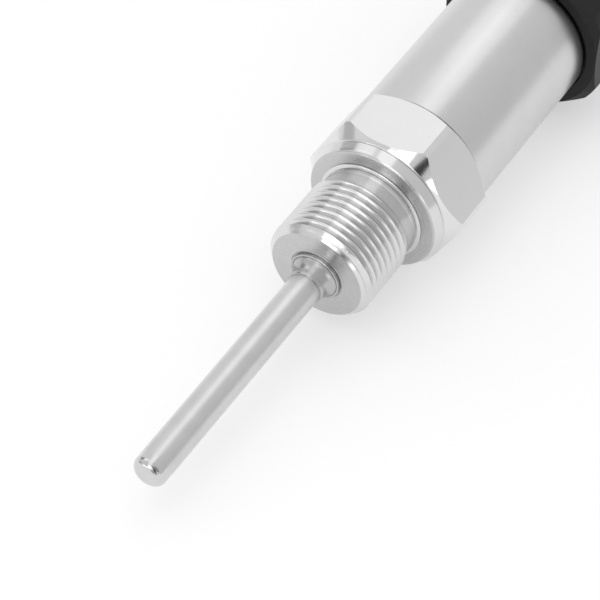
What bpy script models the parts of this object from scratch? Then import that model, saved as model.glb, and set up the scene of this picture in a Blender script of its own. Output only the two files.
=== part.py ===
"""Compact temperature transmitter, modelled as a stack along Z from the probe tip and then laid on its side."""
import math

import bmesh
import bpy
from mathutils import Matrix, Vector

# Probe
PROBE_DIAMETER = 0.0060
PROBE_WALL = 0.0006
PROBE_TIP_ROUND = 0.0011
INSERTION_LENGTH = 0.0500

# Process fitting: welded neck, thread, relief, sealing collar, hexagon and spigot
NECK_LENGTH = 0.0034
NECK_FRONT_WALL = 0.0004
NECK_ROOT_RADIUS = 0.0046
THREAD_RADIUS = 0.00995
THREAD_DEPTH = 0.00085
THREAD_PITCH = 0.0015
THREAD_LENGTH = 0.0135
THREAD_LEAD_IN = 0.0012
RELIEF_DEPTH = 0.00065
RELIEF_LENGTH = 0.0041
LIP_HEIGHT = 0.0006
COLLAR_RADIUS = 0.01305
COLLAR_LENGTH = 0.0025
COLLAR_EDGE = 0.0006
HEX_ACROSS_FLATS = 0.0270
HEX_LENGTH = 0.0116
HEX_FRONT_CHAMFER = 0.87
HEX_REAR_CHAMFER = 0.577
HEX_LAND = 0.0001
SPIGOT_LENGTH = 0.0060
COUNTERBORE_RADIUS = 0.0080
SHEATH_BORE_IN_HEX = 0.0025
SHEATH_STICK_OUT = 0.0020

# Housing tube
HOUSING_DIAMETER = 0.0265
HOUSING_WALL = 0.0015
HOUSING_LENGTH = 0.0376
HOUSING_EDGE_ROUND = 0.0011

# Black end cap
CAP_ACROSS_FLATS = 0.0310
CAP_CORNER_RADIUS = 0.0170
CAP_FACE_RADIUS = 0.0149
CAP_LENGTH = 0.0125
CAP_SPIGOT_LENGTH = 0.0060
CAP_SPIGOT_WALL = 0.0026
CAP_CHAMFER = 0.577
O_RING_SECTION = 0.0012

# Cable gland
GLAND_THREAD_RADIUS = 0.0079
GLAND_ENTRY_THREAD_LENGTH = 0.0075
GLAND_FLATS = 0.0220
GLAND_FLANGE_LENGTH = 0.0045
GLAND_THREAD_LENGTH = 0.0060
GLAND_BORE_RADIUS = 0.0052
GLAND_FINGER_LENGTH = 0.0050
GLAND_FINGER_STEP = 0.0007
GLAND_FINGER_WALL = 0.0010
GLAND_FINGER_SLOT = 0.0010
GLAND_SLOT_PAIRS = 3
GASKET_THICKNESS = 0.0010
GASKET_WIDTH = 0.0020
SEAL_BORE_RADIUS = 0.0040
WASHER_THICKNESS = 0.0010
NUT_STAND_OFF = 0.0010
NUT_END_WALL = 0.0025
NUT_MOUTH_RADIUS = 0.0046
NUT_DOME_LENGTH = 0.0047
NUT_DOME_RADIUS = 0.0080
GLAND_CHAMFER = 0.0008

# Element, wires and insulator in the sheath
ELEMENT_RADIUS = 0.0020
ELEMENT_LENGTH = 0.0110
INSULATOR_RADIUS = 0.0022
WIRE_RADIUS = 0.00045
WIRE_BORE_RADIUS = 0.0006
WIRE_CIRCLE_RADIUS = 0.00115
WIRE_SPREAD = 0.0013
WIRE_ABOVE_BOARD = 0.0007
ELEMENT_TO_INSULATOR = 0.0012
RESIN_LENGTH = 0.0040

# Board and what it carries
BOARD_THICKNESS = 0.0016
BOARD_IN_CAP = 0.0030
HOLDER_THICKNESS = 0.0030
HOLDER_FLOOR = 0.0010
HOLDER_HOLE_RADIUS = 0.0034
HEADER_LENGTH = 0.0030
HEADER_WIDTH = 0.0080
HEADER_HEIGHT = 0.0026
HEADER_PITCH = 0.0025
HEADER_FROM_HOLDER = 0.0030
TERMINAL_LENGTH = 0.0080
TERMINAL_WIDTH = 0.0102
TERMINAL_HEIGHT = 0.0070
TERMINAL_PITCH = 0.0050
TERMINAL_POCKET = 0.0034
TERMINAL_POCKET_DEPTH = 0.0060
CLAMP_LENGTH = 0.0048
CLAMP_WALL = 0.0005
SCREW_HEAD_RADIUS = 0.0014
SCREW_HEAD_HEIGHT = 0.0010
SCREW_SHANK_RADIUS = 0.0008
SCREW_SLOT = 0.0004
CAN_RADIUS = 0.0020
CAN_HEIGHT = 0.0042
COMPONENT_EDGE = 0.0002
COMPONENT_SPACING = 0.0010
RESISTOR_COUNT = 4

# Height, width and length of the components
CHIP_SIZE = (0.0016, 0.0040, 0.0050)
CAPACITOR_SIZE = (0.0025, 0.0032, 0.0058)
DIODE_SIZE = (0.0023, 0.0036, 0.0043)
RESISTOR_SIZE = (0.0006, 0.0016, 0.0030)

# Clearances
SEAT_GAP = 0.0003
FIT_GAP = 0.00015

# Fineness of round shapes
ROUND_STEPS = 36
SMALL_STEPS = 24
TINY_STEPS = 12
CORNER_STEPS = 3
DOME_STEPS = 4
BEND_STEPS = 6
SHARP_ANGLE = math.radians(30)

# Stations along the axis, from the probe tip towards the cable
THREAD_FRONT = INSERTION_LENGTH
NECK_FRONT = THREAD_FRONT - NECK_LENGTH
RELIEF_FRONT = THREAD_FRONT + THREAD_LENGTH
COLLAR_FRONT = RELIEF_FRONT + RELIEF_LENGTH
HEX_FRONT = COLLAR_FRONT + COLLAR_LENGTH
HEX_REAR = HEX_FRONT + HEX_LENGTH
SPIGOT_REAR = HEX_REAR + SPIGOT_LENGTH
HOUSING_FRONT = HEX_REAR + SEAT_GAP
HOUSING_REAR = HOUSING_FRONT + HOUSING_LENGTH
CAP_FRONT = HOUSING_REAR + SEAT_GAP
CAP_SPIGOT_FRONT = CAP_FRONT - CAP_SPIGOT_LENGTH
CAP_REAR = CAP_FRONT + CAP_LENGTH
GASKET_FRONT = CAP_REAR + SEAT_GAP
FLANGE_FRONT = GASKET_FRONT + GASKET_THICKNESS + SEAT_GAP
FLANGE_REAR = FLANGE_FRONT + GLAND_FLANGE_LENGTH
FINGER_FRONT = FLANGE_REAR + GLAND_THREAD_LENGTH
FINGER_REAR = FINGER_FRONT + GLAND_FINGER_LENGTH
WASHER_FRONT = FINGER_REAR + SEAT_GAP
WASHER_REAR = WASHER_FRONT + WASHER_THICKNESS
NUT_FRONT = FLANGE_REAR + NUT_STAND_OFF
NUT_SHOULDER = WASHER_REAR + SEAT_GAP
NUT_REAR = NUT_SHOULDER + NUT_END_WALL
SHEATH_BORE_REAR = HEX_FRONT + SHEATH_BORE_IN_HEX
SHEATH_REAR = SHEATH_BORE_REAR + SHEATH_STICK_OUT
ELEMENT_FRONT = PROBE_WALL + SEAT_GAP
ELEMENT_REAR = ELEMENT_FRONT + ELEMENT_LENGTH
INSULATOR_FRONT = ELEMENT_REAR + ELEMENT_TO_INSULATOR
INSULATOR_REAR = SHEATH_REAR - RESIN_LENGTH
RESIN_FRONT = INSULATOR_REAR + SEAT_GAP
HOLDER_FRONT = SPIGOT_REAR + SEAT_GAP
HOLDER_REAR = HOLDER_FRONT + HOLDER_THICKNESS
BOARD_FRONT = HOLDER_FRONT + HOLDER_FLOOR + SEAT_GAP
BOARD_REAR = CAP_SPIGOT_FRONT + BOARD_IN_CAP
HEADER_FRONT = HOLDER_REAR + HEADER_FROM_HOLDER
RESISTOR_FRONT = HEADER_FRONT + HEADER_LENGTH + COMPONENT_SPACING
TERMINAL_REAR = CAP_SPIGOT_FRONT - SEAT_GAP
TERMINAL_FRONT = TERMINAL_REAR - TERMINAL_LENGTH
CHIP_FRONT = HOLDER_REAR + COMPONENT_SPACING
CAPACITOR_FRONT = CHIP_FRONT + CHIP_SIZE[2] + COMPONENT_SPACING
DIODE_FRONT = CAPACITOR_FRONT + CAPACITOR_SIZE[2] + COMPONENT_SPACING

# Radii that follow from the ones above
PROBE_RADIUS = PROBE_DIAMETER / 2
PROBE_BORE = PROBE_RADIUS - PROBE_WALL
SHEATH_HOLE = PROBE_RADIUS + FIT_GAP
THREAD_ROOT = THREAD_RADIUS - THREAD_DEPTH
RELIEF_RADIUS = THREAD_RADIUS - RELIEF_DEPTH
LIP_RADIUS = RELIEF_RADIUS + LIP_HEIGHT
HEX_HALF = HEX_ACROSS_FLATS / 2
HEX_CORNER = HEX_ACROSS_FLATS / math.sqrt(3)
HEX_REAR_RADIUS = HEX_HALF - HEX_LAND
HOUSING_RADIUS = HOUSING_DIAMETER / 2
HOUSING_BORE = HOUSING_RADIUS - HOUSING_WALL
SPIGOT_RADIUS = HOUSING_BORE - FIT_GAP
GROOVE_RADIUS = HOUSING_BORE - O_RING_SECTION - 2 * FIT_GAP
O_RING_RADIUS = HOUSING_BORE - FIT_GAP - O_RING_SECTION / 2
GROOVE_WIDTH = O_RING_SECTION + 2 * SEAT_GAP
CAP_BORE = SPIGOT_RADIUS - CAP_SPIGOT_WALL
GLAND_HOLE = GLAND_THREAD_RADIUS + FIT_GAP
GLAND_CORNER = GLAND_FLATS / math.sqrt(3)
FINGER_RADIUS = GLAND_THREAD_RADIUS - GLAND_FINGER_STEP
SEAL_SEAT = FINGER_RADIUS - GLAND_FINGER_WALL
SEAL_RADIUS = SEAL_SEAT - FIT_GAP
BOARD_TOP = BOARD_THICKNESS / 2
BOARD_WIDTH = 2 * math.sqrt((CAP_BORE - SEAT_GAP) ** 2 - BOARD_TOP ** 2)
COMPONENT_OFFSET = BOARD_WIDTH / 4
RESISTOR_PITCH = BOARD_WIDTH / (RESISTOR_COUNT + 1)

# The hexagon's lowest point and the cap's lowest corner both touch the ground
HEX_CONTACT = HEX_FRONT + (HEX_HALF - COLLAR_RADIUS) * HEX_FRONT_CHAMFER
CAP_CONTACT = CAP_FRONT + (CAP_CORNER_RADIUS - CAP_FACE_RADIUS) * CAP_CHAMFER
REST_TILT = math.atan2(CAP_CORNER_RADIUS - HEX_HALF, CAP_CONTACT - HEX_CONTACT)

# Finishes: colour, metallic, roughness
FINISHES = {
    "stainless_turned": ((0.74, 0.74, 0.73), 1.0, 0.22),
    "stainless_satin": ((0.70, 0.70, 0.69), 1.0, 0.36),
    "black_plastic": ((0.022, 0.022, 0.023), 0.0, 0.45),
    "black_rubber": ((0.015, 0.015, 0.015), 0.0, 0.80),
    "grey_rubber": ((0.11, 0.11, 0.11), 0.0, 0.75),
    "white_ceramic": ((0.84, 0.82, 0.77), 0.0, 0.50),
    "amber_resin": ((0.36, 0.20, 0.06), 0.0, 0.30),
    "white_plastic": ((0.78, 0.78, 0.75), 0.0, 0.45),
    "red_insulation": ((0.50, 0.03, 0.02), 0.0, 0.50),
    "white_insulation": ((0.80, 0.80, 0.78), 0.0, 0.50),
    "board_laminate": ((0.02, 0.16, 0.07), 0.0, 0.45),
    "green_plastic": ((0.05, 0.30, 0.12), 0.0, 0.40),
    "component_black": ((0.02, 0.02, 0.02), 0.0, 0.50),
    "component_tan": ((0.55, 0.38, 0.14), 0.0, 0.50),
    "aluminium_can": ((0.78, 0.78, 0.80), 1.0, 0.30),
    "tinned_steel": ((0.66, 0.66, 0.64), 1.0, 0.30),
}


def clear_scene():
    for thing in list(bpy.data.objects):
        bpy.data.objects.remove(thing)


def new_collection(name):
    collection = bpy.data.collections.new(name)
    bpy.context.scene.collection.children.link(collection)
    return collection


def finish(name):
    """The material of one finish, made when it is first used."""
    material = bpy.data.materials.get(name)
    if material:
        return material
    colour, metallic, roughness = FINISHES[name]
    material = bpy.data.materials.new(name)
    material.use_nodes = True
    shader = material.node_tree.nodes["Principled BSDF"]
    shader.inputs["Base Color"].default_value = (*colour, 1)
    shader.inputs["Metallic"].default_value = metallic
    shader.inputs["Roughness"].default_value = roughness
    return material


clear_scene()
PARTS = new_collection("temperature_transmitter")
CUTTERS = new_collection("cutters")
ROOT = bpy.data.objects.new("transmitter_axis", None)
PARTS.objects.link(ROOT)


def add_part(name, data, finish_name, place=(0, 0, 0)):
    part = bpy.data.objects.new(name, data)
    data.materials.append(finish(finish_name))
    part.location = place
    part.parent = ROOT
    PARTS.objects.link(part)
    return part


def add_cutter(name, mesh, place=(0, 0, 0)):
    cutter = bpy.data.objects.new(name, mesh)
    cutter.location = place
    cutter.hide_render = True
    cutter.display_type = "WIRE"
    CUTTERS.objects.link(cutter)
    return cutter


def boolean(part, cutter, operation="DIFFERENCE"):
    modifier = part.modifiers.new(cutter.name, "BOOLEAN")
    modifier.solver = "EXACT"
    modifier.operation = operation
    modifier.object = cutter


def round_edges(part, width, segments=1):
    modifier = part.modifiers.new("round_edges", "BEVEL")
    modifier.width = width
    modifier.segments = segments
    modifier.limit_method = "ANGLE"


def turned(name, outer, bore, finish_name, steps=ROUND_STEPS, origin=0.0):
    """Turn a profile about Z. Points are (radius, station), the outside and the bore both from tip to cable."""
    outline = list(reversed(outer)) + list(bore)
    mesh = bpy.data.meshes.new(name)
    corners = [(radius, 0, station - origin) for radius, station in outline]
    pairs = [(index, (index + 1) % len(outline)) for index in range(len(outline))]
    edges = [(a, b) for a, b in pairs if outline[a][0] > 0 or outline[b][0] > 0]
    mesh.from_pydata(corners, edges, [])
    part = add_part(name, mesh, finish_name, (0, 0, origin))
    modifier = part.modifiers.new("turn", "SCREW")
    modifier.steps = steps
    modifier.render_steps = steps
    modifier.use_merge_vertices = True
    modifier.merge_threshold = 0.000001
    return part


def cylinder_mesh(name, radius, length, sides, turn=0.0):
    """A prism along Z with its first end at zero. Six sides give two flats that face X."""
    shape = bmesh.new()
    place = Matrix.Translation((0, 0, length / 2)) @ Matrix.Rotation(turn, 4, "Z")
    bmesh.ops.create_cone(shape, cap_ends=True, segments=sides, radius1=radius, radius2=radius,
                          depth=length, matrix=place)
    mesh = bpy.data.meshes.new(name)
    shape.to_mesh(mesh)
    shape.free()
    return mesh


def box_mesh(name, height, width, length):
    """A box with its height along X, its width along Y and its length along Z, centred."""
    shape = bmesh.new()
    bmesh.ops.create_cube(shape, size=1.0)
    bmesh.ops.scale(shape, vec=(height, width, length), verts=shape.verts)
    mesh = bpy.data.meshes.new(name)
    shape.to_mesh(mesh)
    shape.free()
    return mesh


def keep_hexagon(part, across_flats, front, rear, turn=0.0):
    """Mill the piece to a hexagon between two planes well past its ends."""
    length = rear - front + 2 * SEAT_GAP
    mesh = cylinder_mesh(part.name + "_flats", across_flats / math.sqrt(3), length, 6, turn)
    boolean(part, add_cutter(part.name + "_flats", mesh, (0, 0, front - SEAT_GAP)), "INTERSECT")


def corner_arc(radius, station, corner, rear):
    """Points of a rounded outer corner, on the front or the rear end of a piece."""
    points = []
    for step in range(CORNER_STEPS + 1):
        angle = math.pi / 2 * step / CORNER_STEPS
        if rear:
            points.append((radius - corner * (1 - math.cos(angle)), station - corner * (1 - math.sin(angle))))
        else:
            points.append((radius - corner * (1 - math.sin(angle)), station + corner * (1 - math.cos(angle))))
    return points


def make_probe_sheath():
    tip = corner_arc(PROBE_RADIUS, 0.0, PROBE_TIP_ROUND, rear=False)
    inner_round = PROBE_TIP_ROUND - PROBE_WALL
    outer = [(0, 0)] + tip + [(PROBE_RADIUS, SHEATH_REAR)]
    bore = [(0, PROBE_WALL), (PROBE_BORE - inner_round, PROBE_WALL), (PROBE_BORE, PROBE_WALL + inner_round),
            (PROBE_BORE, SHEATH_REAR)]
    return turned("probe_sheath", outer, bore, "stainless_satin", SMALL_STEPS)


def thread_rings(radius, root, front, rear):
    """Crests and roots of a thread drawn as rings, from the first crest at the front plane."""
    points = [(radius, front)]
    turns = int((rear - front) / THREAD_PITCH)
    for turn in range(turns):
        points.append((root, front + (turn + 0.5) * THREAD_PITCH))
        points.append((radius, front + (turn + 1.0) * THREAD_PITCH))
    return points


def spigot_outline(front, rear, groove_middle):
    """The outside of a plug that carries an O-ring, without its first corner."""
    return [
        (SPIGOT_RADIUS, front),
        (SPIGOT_RADIUS, groove_middle - GROOVE_WIDTH / 2),
        (GROOVE_RADIUS, groove_middle - GROOVE_WIDTH / 2),
        (GROOVE_RADIUS, groove_middle + GROOVE_WIDTH / 2),
        (SPIGOT_RADIUS, groove_middle + GROOVE_WIDTH / 2),
        (SPIGOT_RADIUS, rear),
    ]


def make_process_fitting():
    """Turned with cones that run past the corners of the hexagon, which then mills them to its flats."""
    envelope = HEX_CORNER + SEAT_GAP
    front_chamfer = (envelope - COLLAR_RADIUS) * HEX_FRONT_CHAMFER
    rear_chamfer = (envelope - HEX_REAR_RADIUS) * HEX_REAR_CHAMFER
    outer = [
        (SHEATH_HOLE + NECK_FRONT_WALL, NECK_FRONT),
        (NECK_ROOT_RADIUS, THREAD_FRONT - SEAT_GAP),
        (NECK_ROOT_RADIUS, THREAD_FRONT),
        (THREAD_RADIUS - THREAD_LEAD_IN, THREAD_FRONT),
    ]
    outer += thread_rings(THREAD_RADIUS, THREAD_ROOT, THREAD_FRONT + THREAD_LEAD_IN, RELIEF_FRONT)
    outer += [
        (RELIEF_RADIUS, RELIEF_FRONT),
        (RELIEF_RADIUS, COLLAR_FRONT - 2 * LIP_HEIGHT),
        (LIP_RADIUS, COLLAR_FRONT - LIP_HEIGHT),
        (LIP_RADIUS, COLLAR_FRONT),
        (COLLAR_RADIUS - COLLAR_EDGE, COLLAR_FRONT),
        (COLLAR_RADIUS, HEX_FRONT - SEAT_GAP),
        (COLLAR_RADIUS, HEX_FRONT),
        (envelope, HEX_FRONT + front_chamfer),
        (envelope, HEX_REAR - rear_chamfer),
        (HEX_REAR_RADIUS, HEX_REAR),
    ]
    outer += spigot_outline(HEX_REAR, SPIGOT_REAR, SPIGOT_REAR - SPIGOT_LENGTH / 2)
    bore = [(SHEATH_HOLE, NECK_FRONT), (SHEATH_HOLE, SHEATH_BORE_REAR),
            (COUNTERBORE_RADIUS, SHEATH_BORE_REAR), (COUNTERBORE_RADIUS, SPIGOT_REAR)]
    part = turned("process_fitting", outer, bore, "stainless_turned", origin=COLLAR_FRONT)
    keep_hexagon(part, HEX_ACROSS_FLATS, NECK_FRONT, SPIGOT_REAR)
    return part


def make_housing_tube():
    outer = corner_arc(HOUSING_RADIUS, HOUSING_FRONT, FIT_GAP, rear=False)
    outer += list(reversed(corner_arc(HOUSING_RADIUS, HOUSING_REAR, HOUSING_EDGE_ROUND, rear=True)))
    bore = [(HOUSING_BORE, HOUSING_FRONT), (HOUSING_BORE, HOUSING_REAR)]
    return turned("housing_tube", outer, bore, "stainless_satin", origin=HOUSING_FRONT)


def make_o_ring(name, station):
    bpy.ops.mesh.primitive_torus_add(major_radius=O_RING_RADIUS, minor_radius=O_RING_SECTION / 2,
                                     major_segments=ROUND_STEPS, minor_segments=8)
    ring = bpy.context.object
    mesh = ring.data
    bpy.data.objects.remove(ring)
    return add_part(name, mesh, "black_rubber", (0, 0, station))


def make_end_cap():
    chamfer = (CAP_CORNER_RADIUS - CAP_FACE_RADIUS) * CAP_CHAMFER
    outer = spigot_outline(CAP_SPIGOT_FRONT, CAP_FRONT, CAP_SPIGOT_FRONT + CAP_SPIGOT_LENGTH / 2)
    outer += [
        (CAP_FACE_RADIUS, CAP_FRONT),
        (CAP_CORNER_RADIUS, CAP_FRONT + chamfer),
        (CAP_CORNER_RADIUS, CAP_REAR - chamfer),
        (CAP_FACE_RADIUS, CAP_REAR),
    ]
    thread_front = CAP_REAR - GLAND_ENTRY_THREAD_LENGTH - SEAT_GAP
    bore = [(CAP_BORE, CAP_SPIGOT_FRONT), (CAP_BORE, thread_front),
            (GLAND_HOLE, thread_front), (GLAND_HOLE, CAP_REAR)]
    part = turned("end_cap", outer, bore, "black_plastic", origin=CAP_FRONT)
    keep_hexagon(part, CAP_ACROSS_FLATS, CAP_SPIGOT_FRONT, CAP_REAR, turn=math.pi / 6)
    return part


def make_gland_gasket():
    inner = GLAND_HOLE + FIT_GAP
    ring = [(inner + GASKET_WIDTH, GASKET_FRONT), (inner + GASKET_WIDTH, GASKET_FRONT + GASKET_THICKNESS)]
    hole = [(inner, GASKET_FRONT), (inner, GASKET_FRONT + GASKET_THICKNESS)]
    return turned("gland_gasket", ring, hole, "black_rubber", origin=GASKET_FRONT)


def make_gland_body():
    envelope = GLAND_CORNER
    outer = [
        (GLAND_THREAD_RADIUS, CAP_REAR - GLAND_ENTRY_THREAD_LENGTH),
        (GLAND_THREAD_RADIUS, FLANGE_FRONT),
        (GLAND_FLATS / 2, FLANGE_FRONT),
        (envelope, FLANGE_FRONT + GLAND_CHAMFER),
        (envelope, FLANGE_REAR - GLAND_CHAMFER),
        (GLAND_FLATS / 2, FLANGE_REAR),
        (GLAND_THREAD_RADIUS, FLANGE_REAR),
        (GLAND_THREAD_RADIUS, FINGER_FRONT),
        (FINGER_RADIUS, FINGER_FRONT + GLAND_FINGER_STEP),
        (FINGER_RADIUS, FINGER_REAR),
    ]
    bore = [(GLAND_BORE_RADIUS, CAP_REAR - GLAND_ENTRY_THREAD_LENGTH), (GLAND_BORE_RADIUS, FLANGE_REAR),
            (SEAL_SEAT, FLANGE_REAR), (SEAL_SEAT, FINGER_REAR)]
    part = turned("gland_body", outer, bore, "black_plastic", origin=FLANGE_FRONT)
    keep_hexagon(part, GLAND_FLATS, CAP_REAR - GLAND_ENTRY_THREAD_LENGTH, FINGER_REAR)
    slot_length = FINGER_REAR - FINGER_FRONT - GLAND_FINGER_STEP
    for pair in range(GLAND_SLOT_PAIRS):
        mesh = box_mesh("finger_slot", GLAND_FINGER_SLOT, 3 * GLAND_THREAD_RADIUS, 2 * slot_length)
        cutter = add_cutter("finger_slot", mesh, (0, 0, FINGER_REAR))
        cutter.rotation_euler = (0, 0, math.pi * pair / GLAND_SLOT_PAIRS)
        boolean(part, cutter)
    return part


def make_gland_seal():
    front = FLANGE_REAR + SEAT_GAP
    outer = [(SEAL_RADIUS, front), (SEAL_RADIUS, FINGER_REAR)]
    bore = [(SEAL_BORE_RADIUS, front), (SEAL_BORE_RADIUS, FINGER_REAR)]
    return turned("gland_seal", outer, bore, "grey_rubber", origin=front)


def make_gland_washer():
    outer = [(FINGER_RADIUS, WASHER_FRONT), (FINGER_RADIUS, WASHER_REAR)]
    bore = [(NUT_MOUTH_RADIUS, WASHER_FRONT), (NUT_MOUTH_RADIUS, WASHER_REAR)]
    return turned("gland_washer", outer, bore, "white_plastic", origin=WASHER_FRONT)


def make_gland_nut():
    """A hexagon with a dome on its cable end."""
    face_radius = GLAND_FLATS / 2
    dome_front = NUT_REAR - NUT_DOME_LENGTH
    outer = [
        (face_radius, NUT_FRONT),
        (GLAND_CORNER, NUT_FRONT + GLAND_CHAMFER),
        (GLAND_CORNER, dome_front - 2 * GLAND_CHAMFER),
    ]
    for step in range(DOME_STEPS + 1):
        angle = math.pi / 2 * step / DOME_STEPS
        outer.append((NUT_DOME_RADIUS + (face_radius - NUT_DOME_RADIUS) * math.cos(angle),
                      dome_front + NUT_DOME_LENGTH * math.sin(angle)))
    bore = [(GLAND_HOLE, NUT_FRONT), (GLAND_HOLE, NUT_SHOULDER),
            (NUT_MOUTH_RADIUS, NUT_SHOULDER), (NUT_MOUTH_RADIUS, NUT_REAR)]
    part = turned("gland_nut", outer, bore, "black_plastic", origin=NUT_FRONT)
    keep_hexagon(part, GLAND_FLATS, NUT_FRONT, NUT_REAR)
    return part


def wire_angles():
    """Where the three wires sit in the insulator. X points down, so the first one is on top."""
    return [math.pi + math.pi * 2 * index / 3 for index in range(3)]


def bore_for_wires(part, front, rear):
    for angle in wire_angles():
        mesh = cylinder_mesh("wire_bore", WIRE_BORE_RADIUS, rear - front + 2 * SEAT_GAP, TINY_STEPS)
        place = (WIRE_CIRCLE_RADIUS * math.cos(angle), WIRE_CIRCLE_RADIUS * math.sin(angle), front - SEAT_GAP)
        boolean(part, add_cutter("wire_bore", mesh, place))


def make_probe_inside():
    mesh = cylinder_mesh("pt100_element", ELEMENT_RADIUS, ELEMENT_LENGTH, SMALL_STEPS)
    element = add_part("pt100_element", mesh, "white_ceramic", (0, 0, ELEMENT_FRONT))
    round_edges(element, FIT_GAP * 2)
    insulator_length = INSULATOR_REAR - INSULATOR_FRONT
    mesh = cylinder_mesh("element_insulator", INSULATOR_RADIUS, insulator_length, SMALL_STEPS)
    insulator = add_part("element_insulator", mesh, "white_ceramic", (0, 0, INSULATOR_FRONT))
    bore_for_wires(insulator, INSULATOR_FRONT, INSULATOR_REAR)
    mesh = cylinder_mesh("sheath_seal", PROBE_BORE - FIT_GAP, SHEATH_REAR - RESIN_FRONT, SMALL_STEPS)
    resin = add_part("sheath_seal", mesh, "amber_resin", (0, 0, RESIN_FRONT))
    bore_for_wires(resin, RESIN_FRONT, SHEATH_REAR)


def eased(start, end):
    """Points between two points that leave and arrive along Z."""
    points = []
    for step in range(1, BEND_STEPS + 1):
        share = step / BEND_STEPS
        ease = (1 - math.cos(math.pi * share)) / 2
        points.append(Vector((start.x + (end.x - start.x) * ease,
                              start.y + (end.y - start.y) * ease,
                              start.z + (end.z - start.z) * share)))
    return points


def make_sensor_wires():
    """Each wire runs straight from the element through the insulator and bends up to its hole in the header."""
    passing_height = -(BOARD_TOP + WIRE_ABOVE_BOARD + WIRE_RADIUS)
    header_height = -(BOARD_TOP + SEAT_GAP + HEADER_HEIGHT / 2)
    sides = [0, -1, 1]
    finishes = ["red_insulation", "white_insulation", "white_insulation"]
    for index, angle in enumerate(wire_angles()):
        side = sides[index]
        in_bore = Vector((WIRE_CIRCLE_RADIUS * math.cos(angle), WIRE_CIRCLE_RADIUS * math.sin(angle), 0))
        start = in_bore + Vector((0, 0, ELEMENT_REAR + SEAT_GAP))
        leave = in_bore + Vector((0, 0, SHEATH_REAR + SEAT_GAP))
        at_holder = Vector((passing_height, side * WIRE_SPREAD, HOLDER_FRONT))
        past_holder = Vector((passing_height, side * WIRE_SPREAD, HOLDER_REAR))
        at_header = Vector((header_height, side * HEADER_PITCH, HEADER_FRONT - SEAT_GAP))
        end = at_header + Vector((0, 0, HEADER_LENGTH / 2))
        route = [start, leave] + eased(leave, at_holder) + [past_holder] + eased(past_holder, at_header) + [end]
        curve = bpy.data.curves.new("sensor_wire", "CURVE")
        curve.dimensions = "3D"
        curve.bevel_depth = WIRE_RADIUS
        curve.bevel_resolution = 2
        curve.use_fill_caps = True
        spline = curve.splines.new("POLY")
        spline.points.add(len(route) - 1)
        for point, place in zip(spline.points, route):
            point.co = (*place, 1)
        add_part("sensor_wire_%d" % (index + 1), curve, finishes[index])


def make_board():
    disc = [(SPIGOT_RADIUS, HOLDER_FRONT), (SPIGOT_RADIUS, HOLDER_REAR)]
    hole = [(HOLDER_HOLE_RADIUS, HOLDER_FRONT), (HOLDER_HOLE_RADIUS, HOLDER_REAR)]
    holder = turned("board_holder", disc, hole, "white_plastic", origin=HOLDER_FRONT)
    slot = box_mesh("board_slot", BOARD_THICKNESS + 2 * SEAT_GAP, BOARD_WIDTH + 2 * SEAT_GAP,
                    2 * (HOLDER_THICKNESS - HOLDER_FLOOR))
    boolean(holder, add_cutter("board_slot", slot, (0, 0, HOLDER_REAR)))
    board = box_mesh("circuit_board", BOARD_THICKNESS, BOARD_WIDTH, BOARD_REAR - BOARD_FRONT)
    add_part("circuit_board", board, "board_laminate", (0, 0, (BOARD_FRONT + BOARD_REAR) / 2))


def on_board(side, height):
    """The X of the middle of a component of this height on one side of the board. Up is negative X."""
    return -side * (BOARD_TOP + SEAT_GAP + height / 2)


def add_component(name, size, side, front, across, finish_name):
    height, width, length = size
    place = (on_board(side, height), across, front + length / 2)
    part = add_part(name, box_mesh(name, height, width, length), finish_name, place)
    round_edges(part, COMPONENT_EDGE)


def make_components():
    """Resistors stand beside the terminals on top, the chips, capacitors and the diode are under the board."""
    for number in range(RESISTOR_COUNT):
        across = (number - (RESISTOR_COUNT - 1) / 2) * RESISTOR_PITCH
        add_component("resistor_%d" % (number + 1), RESISTOR_SIZE, 1, RESISTOR_FRONT, across, "component_black")
    add_component("signal_chip", CHIP_SIZE, -1, CHIP_FRONT, -COMPONENT_OFFSET, "component_black")
    add_component("loop_chip", CHIP_SIZE, -1, CHIP_FRONT, COMPONENT_OFFSET, "component_black")
    for number, side in enumerate((-1, 1), start=1):
        across = side * COMPONENT_OFFSET
        add_component("tantalum_capacitor_%d" % number, CAPACITOR_SIZE, -1, CAPACITOR_FRONT, across,
                      "component_tan")
    add_component("surge_diode", DIODE_SIZE, -1, DIODE_FRONT, -COMPONENT_OFFSET, "component_black")
    place = (BOARD_TOP + SEAT_GAP, COMPONENT_OFFSET, DIODE_FRONT + CAN_RADIUS)
    can = add_part("filter_capacitor", cylinder_mesh("filter_capacitor", CAN_RADIUS, CAN_HEIGHT, SMALL_STEPS),
                   "aluminium_can", place)
    can.rotation_euler = (0, math.pi / 2, 0)
    round_edges(can, COMPONENT_EDGE)


def make_sensor_header():
    place = (on_board(1, HEADER_HEIGHT), 0, HEADER_FRONT + HEADER_LENGTH / 2)
    header = add_part("sensor_header", box_mesh("sensor_header", HEADER_HEIGHT, HEADER_WIDTH, HEADER_LENGTH),
                      "white_plastic", place)
    for side in (-1, 0, 1):
        depth = HEADER_LENGTH / 2 + 2 * SEAT_GAP
        mesh = cylinder_mesh("header_hole", WIRE_BORE_RADIUS + FIT_GAP, depth, TINY_STEPS)
        mouth = (place[0], side * HEADER_PITCH, HEADER_FRONT - SEAT_GAP)
        boolean(header, add_cutter("header_hole", mesh, mouth))


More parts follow.
